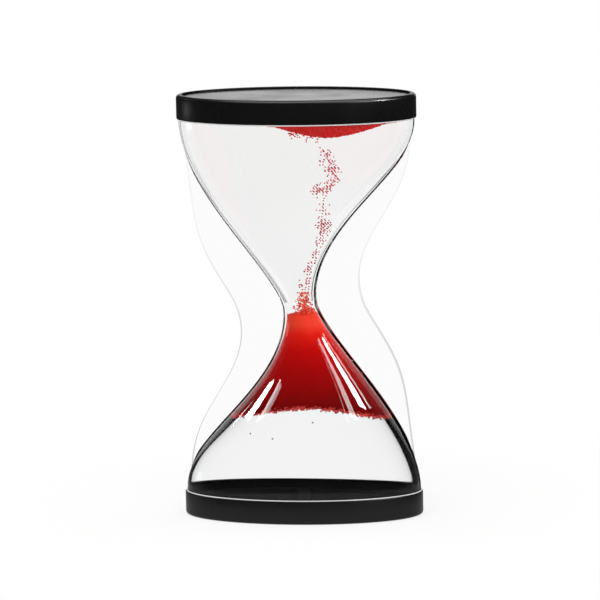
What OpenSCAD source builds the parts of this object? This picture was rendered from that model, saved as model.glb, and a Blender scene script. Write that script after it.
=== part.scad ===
// Liquid motion timer: a clear hourglass vessel between two oval caps, full of liquid,
// with buoyant beads that rise through the neck each time the timer is turned over.
// It stands on its lower cap: +Z is up, +X to the right, +Y to the rear, and the origin
// is at the middle of the resting face. Heights in the functions count from mid-height.

/* [Overall] */
// Height from one resting face to the other
body_h = 145; // [128:1:180]
// Width of the caps, along their long axis
cap_w = 82; // [76:1:100]
// Depth of the caps, along their short axis
cap_d = 42; // [38:1:54]

/* [Caps] */
// Height of a cap
cap_h = 8.2; // [7.4:0.1:10]
// Wall of a cap round the mouth of the shell
cap_wall = 0.6; // [0.5:0.1:1.6]
// Thickness of the cap's inner floor
cap_floor = 1.4; // [1:0.1:2]
// Radius on the outer edge of the end face
cap_round = 1.2; // [0.6:0.1:1.5]
// Bevel on the edge where the shell goes in
cap_bevel = 0.3; // [0.1:0.1:0.5]
// Width of the lip round the disc, the edge radius included
disc_lip = 2; // [1.7:0.1:3]
// Depth of the disc's face below the lip
disc_recess = 0.6; // [0.3:0.1:1]
// Thickness of the disc
disc_t = 1.2; // [0.8:0.1:1.6]
// Clearance round the disc
disc_gap = 0.1; // [0.05:0.05:0.2]

/* [Clear shell] */
// Wall of the vessel
shell_wall = 1.8; // [1.2:0.1:2.4]
// Clearance between the shell and the cap
shell_fit = 0.1; // [0.05:0.05:0.2]
// Outer width of the neck
neck_w = 11.4; // [10:0.2:16]
// Outer depth of the neck
neck_d = 11.4; // [10:0.2:16]
// Straight collar of the vessel that shows below a cap
collar_h = 0.8; // [0.8:0.1:4]
// How far the flare starts late, as a power of the height
flare_bend = 1.68; // [1.5:0.01:2.2]
// How full the flare swells, as a power of the sine
flare_swell = 0.92; // [0.7:0.01:1]
// Sideways sway of the vessel's axis at its widest
vessel_sway = 4.2; // [0:0.1:5]
// Height above the neck where that sway is widest
vessel_sway_z = 25.7; // [22:0.1:30]

/* [Side web] */
// Thickness of the flat web, both halves together
web_t = 3.2; // [2:0.2:5]
// Width of the web at the waist
waist_w = 44.2; // [36:0.2:52]
// Width of the web at the shoulders
shoulder_w = 77.4; // [70:0.2:78]
// Height of the straight shoulder below a cap
shoulder_h = 4.4; // [2:0.1:8]
// How early the web widens, as a power of the height
web_bend = 0.83; // [0.7:0.01:1]
// Sideways sway of the web at its widest
web_sway = 5; // [0:0.1:6]
// Height above the waist where that sway is widest
web_sway_z = 19.2; // [16:0.1:26]

/* [End closures] */
// Thickness of the seal between shell and end plate
seal_t = 0.6; // [0.4:0.1:0.8]
// Thickness of the end plate's flange
plate_t = 1.6; // [1.2:0.1:2]
// How far the end plate's spigot shows past the cap
spigot_show = 0.8; // [0.4:0.1:1.2]
// Clearance of the spigot in the vessel's mouth
spigot_fit = 0.1; // [0.05:0.05:0.3]
// Bore of the fill port
port_d = 5; // [4:0.1:7]
// Diameter of the fill plug's head
plug_head_d = 8; // [7.5:0.1:10]
// Clearance round the fill plug
plug_fit = 0.05; // [0.02:0.01:0.1]
// Room between the plug's head and the disc
plug_room = 0.2; // [0.1:0.1:0.4]

/* [Beads and liquid] */
// Diameter of a bead
bead_d = 0.5; // [0.4:0.02:0.56]
// How much smaller or larger than that a single bead can be, as a share
bead_vary = 0.12; // [0:0.01:0.15]
// Spacing of the paths that rising beads take
bead_pitch = 0.72; // [0.7:0.02:1]
// Clearance of the packed beads in the vessel
bead_fit = 0.1; // [0.05:0.05:0.3]
// Clearance of the liquid at what it touches
liquid_fit = 0.05; // [0.02:0.01:0.06]
// Depth below the neck of the packed beads' front edge
mass_level = 35.5; // [25:0.5:40]
// How much lower the packed beads reach at the sides
mass_droop = 4.5; // [0:0.5:8]
// Depth below the neck of the packed beads' hollow middle
mass_hollow = 31; // [20:0.5:34]
// Height of the tapered crown where the beads leave
crown_h = 4; // [1:0.5:5]
// Half width of the gathered layer
layer_r = 23.5; // [16:0.5:26]
// Half depth of the gathered layer
layer_b = 15; // [10:0.5:15]
// Thickness of the gathered layer at its middle
layer_h = 6.2; // [3:0.1:9]
// Sideways place of the gathered layer
layer_x = 10.5; // [0:0.5:11]
// How blunt the gathered layer is, as a power of the radius
layer_bluntness = 1.54; // [1.2:0.01:2]
// Room between the highest rising bead and the gathered layer
rise_gap = 3; // [2.6:0.1:5]
// Tilt of the rising stream from upright, in degrees
rise_tilt = 7; // [0:0.5:8]

/* [Hidden] */
$fn = 96;
arc_n = 18;
level_n = 44;
ring_n = 32;
oval_n = 72;
round_n = 5;
overcut = 1;

// Half lengths of the caps' oval, the shell's mouth and the vessel's bore
cap_a = cap_w / 2;
cap_b = cap_d / 2;
mouth_a = cap_a - cap_wall - shell_fit;
mouth_b = cap_b - cap_wall - shell_fit;
bore_a = mouth_a - shell_wall;
bore_b = mouth_b - shell_wall;

// Heights from the middle out to the resting face
face_z = body_h / 2;
edge_z = face_z - cap_h;
disc_z = face_z - disc_recess - disc_t;
floor_z = disc_z - cap_floor;
plate_z = floor_z - plate_t;
shell_z = plate_z - seal_t;
ceiling_z = edge_z - spigot_show;
flare_z = edge_z - collar_h;
shoulder_z = edge_z - shoulder_h;

// Sharp step left between the web's face and the vessel where the web runs out
web_ledge = 0.05;

// Packed beads end under the neck, and the rising groups split the chamber above it
mass_top = 0;
crown_share = 0.45;
hollow_share = 0.15;
layer_z = ceiling_z - layer_h;
rise_foot = mass_top + crown_h + bead_d;
rise_top = layer_z - rise_gap;
rise_groups = 3;

// Room of a rising bead at the vessel's wall and at the next bead on its path, steps along
// a path, paths to each side, and the turn of the paths' grid round the stream
rise_room = 0.35;
bead_room = 0.04;
rise_step = 1.05;
way_step = 2;
path_reach = 22;
path_turn = 14;

// Depth of a puff as a share of its width, and how much it thins towards its edge
puff_depth = 1.5;
puff_thin = 0.9;

// Beads adrift in the lower chamber: across, to the rear, and height from the neck
strays = [[4, -2, -41], [-16.5, -3, -45], [-9.5, 1, -47.5]];

// Puffs of the rising stream: across, height from the neck, half width, half height and
// the share of the places in it that hold a bead
puffs = [
    [0.4, 6.6, 2, 2.2, 0.5],
    [2.9, 7, 2, 3.4, 1],
    [4, 12, 2.6, 3.2, 0.8],
    [5.5, 17, 2, 3.2, 0.9],
    [7, 22, 2.3, 3.4, 0.5],
    [8.4, 27.6, 3, 3.6, 1],
    [8.4, 32.6, 2.6, 3, 0.35],
    [8.6, 36.6, 2.6, 2.6, 0.25],
    [6.7, 40, 2.6, 3, 1],
    [10, 40.6, 2.5, 2, 1],
    [12.2, 43.4, 3.2, 3, 0.45],
    [12, 46.6, 2.8, 2.4, 1],
    [10.4, 49.4, 3.4, 2.8, 0.4],
    [9.6, 52.4, 2.8, 3, 0.5]
];

// Share of the way from neck width to mouth width
function flare(z) =
    let (u = min(abs(z) / flare_z, 1))
    pow(sin(90 * pow(u, flare_bend)), flare_swell);

// Sideways shift of a section, to the left above the waist and to the right below it
function sway(z, reach, peak, peak_z) =
    let (
        u = min(abs(z) / reach, 1),
        k = peak_z / reach,
        power = (1 / (k * k) - 1) / 2
    )
    -sign(z) * peak * (u / k) * pow((1 - u * u) / (1 - k * k), power);

function vessel_x(z) = sway(z, flare_z, vessel_sway, vessel_sway_z);
function vessel_w(z) = neck_w / 2 + (mouth_a - neck_w / 2) * flare(z);
function vessel_b(z) = neck_d / 2 + (mouth_b - neck_d / 2) * flare(z);

function web_half(z) =
    let (u = min(abs(z) / shoulder_z, 1))
    waist_w / 2 + (shoulder_w - waist_w) / 2 * pow(sin(90 * pow(u, web_bend)), 2);
function web_x(z, side) = sway(z, shoulder_z, web_sway, web_sway_z) + side * web_half(z);

// Outline of the front half at one height: the joint line, the bore, the web and the bulge
function half_outline(z) =
    let (
        x = vessel_x(z),
        w = vessel_w(z),
        b = vessel_b(z),
        t = web_t / 2,
        rise = asin(t / b),
        left = web_x(z, -1),
        right = web_x(z, 1)
    )
    concat(
        [[max(right, x + w), 0, z]],
        [for (i = [0:arc_n])
            let (a = 180 * i / arc_n)
            [x + (w - shell_wall) * cos(a), -(b - shell_wall) * sin(a), z]],
        [[min(left, x - w), 0, z]],
        [[min(left, x - w * cos(rise) - web_ledge), -t, z]],
        [for (i = [0:arc_n])
            let (a = 180 - rise - (180 - 2 * rise) * i / arc_n)
            [x + w * cos(a), -b * sin(a), z]],
        [[max(right, x + w * cos(rise) + web_ledge), -t, z]]
    );

// Faces that close the end of that outline, from the bore out to the bulge and the web
half_lid = concat(
    [for (i = [0:arc_n - 1])
        [i + 1, i + 2, 2 * arc_n + 3 - i, 2 * arc_n + 4 - i]],
    [[arc_n + 1, arc_n + 2, arc_n + 3, arc_n + 4]],
    [[2 * arc_n + 4, 2 * arc_n + 5, 0, 1]]
);

// Point of the bore at a height and angle, drawn in by a clearance or to a share
function bore_point(z, a, gap, share = 1) = [
    vessel_x(z) + share * (vessel_w(z) - shell_wall - gap) * cos(a),
    share * (vessel_b(z) - shell_wall - gap) * sin(a),
    z
];

// Single face over a round outline of n points
function round_lid(n) = [[for (i = [0:n - 1]) i]];

// Outline of a cap, set in by a width
function oval(inset, z) = [
    for (i = [0:oval_n - 1])
        let (t = 360 * i / oval_n)
        [(cap_a - inset) * cos(t), (cap_b - inset) * sin(t), z]
];

ring_angles = [for (i = [0:ring_n - 1]) 360 * i / ring_n];
function mix(from, to, share) = from + (to - from) * share;

// Lower edge of the packed beads where they meet the vessel
function mass_edge(a) = -mass_level - mass_droop * pow(cos(a), 2);

// Repeatable scatter between 0 and 1
function scatter(a, b, c) =
    let (s = sin(127.1 * a + 311.7 * b + 74.7 * c + 17) * 43758.5453)
    s - floor(s);

// How full the stream is at a place: the fullest puff there counts, and thins outwards
function puff_reach(p, puff) = norm([
    (p.x - puff[0]) / puff[2],
    p.y / (puff[2] * puff_depth),
    (p.z - puff[1]) / puff[3]
]);
function stream_share(p) =
    max([for (puff = puffs) puff[4] * (1 - puff_thin * pow(puff_reach(p, puff), 2))]);

// Whether a bead is clear of the vessel, where it is and all the way up
function in_bore(p) =
    let (
        room = shell_wall + bead_d * (1 + bead_vary) / 2 + rise_room,
        w = vessel_w(p.z) - room,
        b = vessel_b(p.z) - room
    )
    pow((p.x - vessel_x(p.z)) / w, 2) + pow(p.y / b, 2) < 1;
function way_clear(p) =
    [for (rise = [0:way_step:layer_z - p.z])
        if (!in_bore(p + rise * [tan(rise_tilt), 0, 1])) rise] == [];

// Bead of a rising group on path i, j at step k: each group has every third path of a
// close-packed grid to itself, so that the groups pass each other without touching
function path_group(i, j) = (i - j + 3 * rise_groups * path_reach) % rise_groups;
function path_bead(i, j, k) =
    let (
        u = bead_pitch * (i + j / 2),
        v = bead_pitch * sqrt(3) / 2 * j,
        across = u * cos(path_turn) - v * sin(path_turn),
        free = rise_step - bead_d * (1 + bead_vary) - bead_room,
        along = rise_step * k + free * scatter(i, j, k)
    )
    [
        across * cos(rise_tilt) + along * sin(rise_tilt),
        u * sin(path_turn) + v * cos(path_turn),
        along * cos(rise_tilt) - across * sin(rise_tilt)
    ];
function rising_group(group, low, high) = [
    for (i = [-path_reach:path_reach], j = [-path_reach:path_reach])
        if (path_group(i, j) == group)
            for (k = [0:floor(face_z / rise_step)])
                let (p = path_bead(i, j, k))
                if (p.z > low && p.z < high && scatter(k, i, j) < stream_share(p))
                    if (way_clear(p))
                        p
];
function rise_mark(i) = mix(rise_foot, rise_top, i / rise_groups);
rising = [for (i = [0:rise_groups - 1]) rising_group(i, rise_mark(i), rise_mark(i + 1))];

// Solid through a stack of outlines that run the same way, with a lid at each end
module skin(rings, lid) {
    n = len(rings[0]);
    m = len(rings);
    walls = [for (j = [0:m - 2], i = [0:n - 1])
        let (k = (i + 1) % n)
        each [
            [j * n + i, (j + 1) * n + i, (j + 1) * n + k],
            [j * n + i, (j + 1) * n + k, j * n + k]
        ]];
    top = [for (face = lid) [for (i = [len(face) - 1:-1:0]) face[i] + (m - 1) * n]];
    polyhedron([for (ring = rings) each ring], concat(lid, walls, top), convexity = 8);
}

// Oval hollow between two heights, set in from the cap's outside
module oval_well(inset, low, high) {
    translate([0, 0, low])
        linear_extrude(high - low)
            polygon([for (p = oval(inset, 0)) [p.x, p.y]]);
}

// Upright oval plate
module oval_plate(a, b, h) {
    scale([1, b / a, 1])
        cylinder(r = a, h = h);
}

// From mid-height to the frame, and the lower end as the upper end turned over
module upright() {
    translate([0, 0, face_z])
        children();
}

module turned_over() {
    rotate([0, 180, 0])
        children();
}

module half_shell() {
    levels = [for (i = [0:level_n]) mix(-shell_z, shell_z, i / level_n)];
    skin([for (z = levels) half_outline(z)], half_lid);
}

module end_plate() {
    difference() {
        union() {
            translate([0, 0, plate_z])
                oval_plate(mouth_a, mouth_b, plate_t);
            translate([0, 0, ceiling_z])
                oval_plate(bore_a - spigot_fit, bore_b - spigot_fit, plate_z - ceiling_z);
        }
        translate([0, 0, ceiling_z - overcut])
            cylinder(d = port_d, h = floor_z - ceiling_z + 2 * overcut);
    }
}

module mouth_seal() {
    translate([0, 0, shell_z])
        difference() {
            oval_plate(mouth_a, mouth_b, seal_t);
            translate([0, 0, -overcut])
                oval_plate(bore_a, bore_b, seal_t + 2 * overcut);
        }
}

module fill_plug() {
    shank_r = port_d / 2 - plug_fit;
    head_r = plug_head_d / 2;
    head_z = disc_z - plug_room;
    rotate_extrude()
        polygon([
            [0, ceiling_z],
            [shank_r, ceiling_z],
            [shank_r, floor_z],
            [head_r, floor_z],
            [head_r, head_z],
            [0, head_z]
        ]);
}

module cap() {
    outside = concat(
        [oval(cap_bevel, edge_z)],
        [oval(0, edge_z + cap_bevel)],
        [for (i = [0:round_n])
            let (t = 90 * i / round_n)
            oval(cap_round * (1 - cos(t)), face_z - cap_round * (1 - sin(t)))]
    );
    difference() {
        skin(outside, round_lid(oval_n));
        oval_well(cap_wall, edge_z - overcut, floor_z);
        oval_well(disc_lip, disc_z, face_z + overcut);
        translate([0, 0, floor_z - overcut])
            cylinder(d = plug_head_d + 2 * plug_fit, h = cap_floor + 2 * overcut);
    }
}

module cap_disc() {
    translate([0, 0, disc_z])
        oval_plate(cap_a - disc_lip - disc_gap, cap_b - disc_lip - disc_gap, disc_t);
}

// Gathered layer with its flat side up, grown all round by a clearance
module layer_form(gap) {
    steps = 12;
    r = layer_r + gap;
    h = layer_h + gap;
    translate([layer_x, 0, ceiling_z])
        mirror([0, 0, 1])
            scale([1, (layer_b + gap) / r, 1])
                rotate_extrude()
                    polygon(concat(
                        [[0, 0]],
                        [for (i = [0:steps])
                            let (share = 1 - i / steps)
                            [r * share, h * (1 - pow(share, layer_bluntness))]]
                    ));
}

module beads(places, gap = 0) {
    for (p = places) {
        size = 1 + bead_vary * (2 * scatter(p.x, p.y, p.z) - 1);
        translate(p)
            sphere(d = bead_d * size + 2 * gap, $fn = 24);
    }
}

module bead_mass() {
    steps = 14;
    gap = bead_fit;
    hollow = [for (a = ring_angles) bore_point(-mass_hollow, a, gap, hollow_share)];
    walls = [for (i = [0:steps])
        [for (a = ring_angles) bore_point(mix(mass_edge(a), mass_top, i / steps), a, gap)]];
    crown = [for (a = ring_angles) bore_point(mass_top + crown_h, a, gap, crown_share)];
    skin(concat([hollow], walls, [crown]), round_lid(ring_n));
}

module lower_liquid() {
    steps = 8;
    gap = liquid_fit;
    hollow_z = -mass_hollow - gap;
    walls = [for (i = [0:steps])
        [for (a = ring_angles)
            bore_point(mix(-ceiling_z + gap, mass_edge(a) - gap, i / steps), a, gap)]];
    hollow = [for (a = ring_angles) bore_point(hollow_z, a, gap, hollow_share)];
    difference() {
        skin(concat(walls, [hollow]), round_lid(ring_n));
        beads(strays, gap);
    }
}

module upper_liquid() {
    steps = 22;
    gap = liquid_fit;
    foot_z = mass_top + gap;
    crown = [for (a = ring_angles) bore_point(foot_z + crown_h, a, gap, crown_share)];
    walls = [for (i = [0:steps])
        [for (a = ring_angles) bore_point(mix(foot_z, ceiling_z - gap, i / steps), a, gap)]];
    difference() {
        skin(concat([crown], walls), round_lid(ring_n));
        layer_form(gap);
        for (group = rising)
            beads(group, gap);
    }
}

module front_half_shell() {
    color([0.9, 0.93, 0.94, 0.35])
        upright()
            half_shell();
}

module rear_half_shell() {
    color([0.9, 0.93, 0.94, 0.35])
        upright()
            mirror([0, 1, 0])
                half_shell();
}

module upper_end_plate() {
    color([0.9, 0.93, 0.94, 0.5])
        upright()
            end_plate();
}

module lower_end_plate() {
    color([0.9, 0.93, 0.94, 0.5])
        upright()
            turned_over()
                end_plate();
}

module upper_mouth_seal() {
    color([0.1, 0.1, 0.105])
        upright()
            mouth_seal();
}

module lower_mouth_seal() {
    color([0.1, 0.1, 0.105])
        upright()
            turned_over()
                mouth_seal();
}

module upper_fill_plug() {
    color([0.14, 0.14, 0.15])
        upright()
            fill_plug();
}

module lower_fill_plug() {
    color([0.14, 0.14, 0.15])
        upright()
            turned_over()
                fill_plug();
}

module upper_cap() {
    color([0.08, 0.08, 0.085])
        upright()
            cap();
}

module lower_cap() {
    color([0.08, 0.08, 0.085])
        upright()
            turned_over()
                cap();
}

module upper_cap_disc() {
    color([0.1, 0.1, 0.105])
        upright()
            cap_disc();
}

module lower_cap_disc() {
    color([0.1, 0.1, 0.105])
        upright()
            turned_over()
                cap_disc();
}

module lower_bead_mass() {
    color([0.72, 0.02, 0.03])
        upright()
            bead_mass();
}

module upper_bead_layer() {
    color([0.72, 0.1, 0.1])
        upright()
            layer_form(0);
}

module rising_beads_low() {
    color([0.8, 0.12, 0.1])
        upright()
            beads(rising[0]);
}

module rising_beads_middle() {
    color([0.8, 0.12, 0.1])
        upright()
            beads(rising[1]);
}

module rising_beads_high() {
    color([0.8, 0.12, 0.1])
        upright()
            beads(rising[2]);
}

module stray_beads() {
    color([0.4, 0.05, 0.05])
        upright()
            beads(strays);
}

module clear_liquid() {
    color([0.92, 0.94, 0.94, 0.3])
        upright() {
            lower_liquid();
            upper_liquid();
        }
}

front_half_shell();
rear_half_shell();
upper_end_plate();
lower_end_plate();
upper_mouth_seal();
lower_mouth_seal();
upper_fill_plug();
lower_fill_plug();
upper_cap();
lower_cap();
upper_cap_disc();
lower_cap_disc();
lower_bead_mass();
upper_bead_layer();
rising_beads_low();
rising_beads_middle();
rising_beads_high();
stray_beads();
clear_liquid();
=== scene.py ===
"""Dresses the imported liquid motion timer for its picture.

A clear hourglass vessel with flat side webs stands between two black oval caps. It is full
of liquid, and red beads that are lighter than the liquid float up through its neck. The
shell, the liquid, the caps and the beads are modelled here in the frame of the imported
solids, and each piece rides on the body that its solid belongs to.
"""

from __future__ import annotations

import logging
import math
from contextlib import contextmanager
from dataclasses import dataclass
from enum import Enum, IntEnum
from typing import Any, Callable, Iterator, Protocol

import bmesh
import bpy
import numpy as np
from bpy.types import Material, Node, NodeSocket, NodeTree, Object
from mathutils import Matrix, Vector

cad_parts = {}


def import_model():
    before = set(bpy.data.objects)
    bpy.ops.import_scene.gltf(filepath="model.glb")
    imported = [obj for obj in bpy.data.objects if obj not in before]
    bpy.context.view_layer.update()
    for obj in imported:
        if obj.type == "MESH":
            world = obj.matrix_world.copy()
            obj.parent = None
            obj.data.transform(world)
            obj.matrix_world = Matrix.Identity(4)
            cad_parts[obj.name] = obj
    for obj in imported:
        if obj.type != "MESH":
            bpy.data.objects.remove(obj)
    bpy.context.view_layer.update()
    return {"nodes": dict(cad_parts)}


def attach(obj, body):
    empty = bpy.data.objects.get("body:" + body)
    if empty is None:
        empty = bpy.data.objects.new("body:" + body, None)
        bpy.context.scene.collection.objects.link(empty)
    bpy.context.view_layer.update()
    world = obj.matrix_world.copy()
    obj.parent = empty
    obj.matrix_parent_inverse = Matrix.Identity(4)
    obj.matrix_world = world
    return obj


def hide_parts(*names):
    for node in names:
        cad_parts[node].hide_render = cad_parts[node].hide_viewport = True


LOG = logging.getLogger("liquid_motion_timer")
MM = 0.001
# Body that every piece modelled here rides on
TIMER = "timer"
# Points closer than this are welded, and heights closer than this are level, in metres
WELD = 1e-7
LEVEL = 1e-6
# Slack when faces are told apart by their place: in millimetres, and as a share of an oval
FACE_SLACK = 0.01
OVAL_SLACK = 0.001
# Most that a scattered bead is off its place in the grid, in millimetres
JITTER = 0.25
# Watts for each square metre of a lamp's face at a glow of 1
GLOW_WATTS = 4.0
SMOOTH_STEP = {"interpolation_type": "SMOOTHSTEP"}
Numbers = float | np.ndarray
Test = Callable[[Any], bool]
MADE: dict[Finish, Material] = {}


class End(Enum):
    """The two ends of the timer, by the word that the names of their nodes start with."""

    UPPER = "upper"
    LOWER = "lower"


class Finish(Protocol):
    """What every finish can do."""

    def material(self) -> Material:
        """Builds the finish as a material."""


class Wall(IntEnum):
    """Surfaces of the clear shell, by the number of their material slot."""

    OUTER = 0
    LOWER_BORE = 1
    UPPER_BORE = 2
    WEB_RIM = 3
    WEB_FACE = 4


def linear(colour: str) -> tuple[float, float, float, float]:
    """Turns an sRGB hex colour to linear values.

    Args:
        colour: six hex digits after a number sign.

    Returns:
        Linear red, green and blue, and an alpha of 1.
    """
    parts = [int(colour[i : i + 2], 16) / 255 for i in (1, 3, 5)]
    red, green, blue = (
        c / 12.92 if c <= 0.04045 else ((c + 0.055) / 1.055) ** 2.4 for c in parts
    )
    return red, green, blue, 1.0


def add_node(
    tree: NodeTree,
    kind: str,
    settings: dict[str, Any] | None = None,
    inputs: dict[str | int, Any] | None = None,
) -> Node:
    """Adds one node to a tree.

    Args:
        tree: the tree of a material or of the world.
        kind: the node's type name.
        settings: the node's own properties by name.
        inputs: values or output sockets by the input's name or number.

    Returns:
        The new node.
    """
    node = tree.nodes.new(kind)
    for name, value in (settings or {}).items():
        setattr(node, name, value)
    for name, value in (inputs or {}).items():
        if isinstance(value, NodeSocket):
            tree.links.new(value, node.inputs[name])
        else:
            node.inputs[name].default_value = value
    return node


def room_share(
    tree: NodeTree, path: Node, depth: NodeSocket, span: tuple[float, float], dim: float
) -> NodeSocket:
    """How white the room is to light that has come through the clear body.

    Light that was thrown back inside the body and leaves to the front finds the room dim.
    Light that has come straight through, or off a bead, finds it white all round.

    Args:
        tree: the tree of the world or of the floor's material.
        path: its Light Path node.
        depth: a socket that grows from the front to the rear.
        span: its values where the room starts to lighten and where it is white.
        dim: how white the front is to light that was thrown back.

    Returns:
        A socket with the share of white, from 0 to 1.
    """
    behind = add_node(tree, "ShaderNodeMapRange", SMOOTH_STEP, {
        "Value": depth, "From Min": span[0], "From Max": span[1], "To Min": dim,
    })
    straight = add_node(tree, "ShaderNodeMath", {"operation": "SUBTRACT", "use_clamp": True}, {
        0: 1.0, 1: path.outputs["Glossy Depth"],
    })
    free = add_node(tree, "ShaderNodeMath", {"operation": "ADD"}, {
        0: straight.outputs[0], 1: path.outputs["Diffuse Depth"],
    })
    return add_node(tree, "ShaderNodeMath", {"operation": "ADD", "use_clamp": True}, {
        0: behind.outputs["Result"], 1: free.outputs[0],
    }).outputs[0]


def new_material(name: str) -> tuple[Material, NodeTree]:
    """Starts a node material with an empty tree.

    Args:
        name: the material's name.

    Returns:
        The material and its tree.
    """
    material = bpy.data.materials.new(name)
    material.use_nodes = True
    material.node_tree.nodes.clear()
    return material, material.node_tree


def dress(obj: Object, *finishes: Finish) -> None:
    """Gives an object one material slot for each finish.

    Args:
        obj: the piece or node to dress.
        finishes: finishes, each of which makes its own material once.
    """
    obj.data.materials.clear()
    for finish in finishes:
        if finish not in MADE:
            MADE[finish] = finish.material()
        obj.data.materials.append(MADE[finish])


def settle(obj: Object, slot: str, *nodes: str) -> Object:
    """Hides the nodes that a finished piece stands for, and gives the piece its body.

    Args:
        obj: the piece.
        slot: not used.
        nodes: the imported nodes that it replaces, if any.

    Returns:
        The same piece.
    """
    if nodes:
        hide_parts(*nodes)
    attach(obj, TIMER)
    return obj


# Finishes


@dataclass(frozen=True)
class ClearPlastic:
    """Clear acrylic, injection moulded and polished: bright, with a faint moulding ripple."""

    name: str = "clear_acrylic_moulded"
    colour: str = "#FFFFFF"
    ior: float = 1.49
    # Painted shade: a tint that lightens with height into this colour over this span
    painted_shade_upper_colour: str = ""
    painted_shade_fade_mm: tuple[float, float] = (50.0, 105.0)
    ripple_mm: float = 14.0
    ripple_depth_mm: float = 0.004

    def material(self) -> Material:
        """Builds the material: clear all through, with slow ripples from the mould's flow.

        Returns:
            The finished material, whose tint changes with height to the upper colour, if any.
            That change is painted shade, darker lower down.
        """
        material, tree = new_material(self.name)
        place = add_node(tree, "ShaderNodeTexCoord")
        ripple = add_node(tree, "ShaderNodeTexNoise", inputs={
            "Vector": place.outputs["Object"],
            "Scale": 1 / (self.ripple_mm * MM),
            "Detail": 1.0,
        })
        bump = add_node(tree, "ShaderNodeBump", inputs={
            "Strength": 1.0,
            "Distance": self.ripple_depth_mm * MM,
            "Height": ripple.outputs["Fac"],
        })
        tint: Any = linear(self.colour)
        # Painted shade: the tint grows lighter with height, up to the upper colour
        if self.painted_shade_upper_colour:
            axes = add_node(tree, "ShaderNodeSeparateXYZ", inputs={0: place.outputs["Object"]})
            height = add_node(tree, "ShaderNodeMapRange", SMOOTH_STEP, {
                "Value": axes.outputs["Z"],
                "From Min": self.painted_shade_fade_mm[0] * MM,
                "From Max": self.painted_shade_fade_mm[1] * MM,
            })
            # A Mix node's inputs 6 and 7 and its output 2 are the ones for colours
            tint = add_node(tree, "ShaderNodeMix", {"data_type": "RGBA"}, {
                0: height.outputs["Result"], 6: tint, 7: linear(self.painted_shade_upper_colour),
            }).outputs[2]
        shader = add_node(tree, "ShaderNodeBsdfPrincipled", inputs={
            "Base Color": tint,
            "Roughness": 0.0,
            "IOR": self.ior,
            "Transmission Weight": 1.0,
            "Normal": bump.outputs["Normal"],
        })
        add_node(tree, "ShaderNodeOutputMaterial", inputs={"Surface": shader.outputs["BSDF"]})
        return material


@dataclass(frozen=True)
class ClearLiquid:
    """Water-thin clear liquid: its bend of light is in the wetted walls round it."""

    name: str = "clear_water_thin_liquid"
    tint: str = "#F2EEDD"
    depth_mm: float = 600.0

    def material(self) -> Material:
        """Builds the material: no skin of its own, only a faint warm tint with depth.

        Returns:
            The finished material.
        """
        material, tree = new_material(self.name)
        shader = add_node(tree, "ShaderNodeBsdfPrincipled", inputs={
            "Base Color": linear("#FFFFFF"),
            "Roughness": 0.0,
            "IOR": 1.0,
            "Transmission Weight": 1.0,
        })
        tint = add_node(tree, "ShaderNodeVolumeAbsorption", inputs={
            "Color": linear(self.tint), "Density": 1 / (self.depth_mm * MM),
        })
        add_node(tree, "ShaderNodeOutputMaterial", inputs={
            "Surface": shader.outputs["BSDF"], "Volume": tint.outputs["Volume"],
        })
        return material


@dataclass(frozen=True)
class Moulding:
    """Plastic or rubber from a mould: an even skin with a fine grain and a soft gloss."""

    name: str
    colour: str
    roughness: float
    spread: float = 0.06
    grain_mm: float = 0.5
    grain_depth_mm: float = 0.01
    cloud_mm: float = 18.0
    cloud_range: tuple[float, float] = (0.3, 0.7)
    ior: float = 1.52

    def material(self) -> Material:
        """Builds the material: clouded roughness over a bump of mould grain.

        Returns:
            The finished material. The grain is drawn about twice as coarse as the real
            one, because that is too fine to show.
        """
        material, tree = new_material(self.name)
        place = add_node(tree, "ShaderNodeTexCoord")
        clouds, grain = (
            add_node(tree, "ShaderNodeTexNoise", inputs={
                "Vector": place.outputs["Object"], "Scale": 1 / (size * MM), "Detail": detail,
            })
            for size, detail in ((self.cloud_mm, 4.0), (self.grain_mm, 2.0))
        )
        gloss = add_node(tree, "ShaderNodeMapRange", inputs={
            "Value": clouds.outputs["Fac"],
            "From Min": self.cloud_range[0],
            "From Max": self.cloud_range[1],
            "To Min": self.roughness - self.spread,
            "To Max": self.roughness + self.spread,
        })
        bump = add_node(tree, "ShaderNodeBump", inputs={
            "Strength": 1.0,
            "Distance": self.grain_depth_mm * MM,
            "Height": grain.outputs["Fac"],
        })
        shader = add_node(tree, "ShaderNodeBsdfPrincipled", inputs={
            "Base Color": linear(self.colour),
            "Roughness": gloss.outputs["Result"],
            "IOR": self.ior,
            "Normal": bump.outputs["Normal"],
        })
        add_node(tree, "ShaderNodeOutputMaterial", inputs={"Surface": shader.outputs["BSDF"]})
        return material


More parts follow.
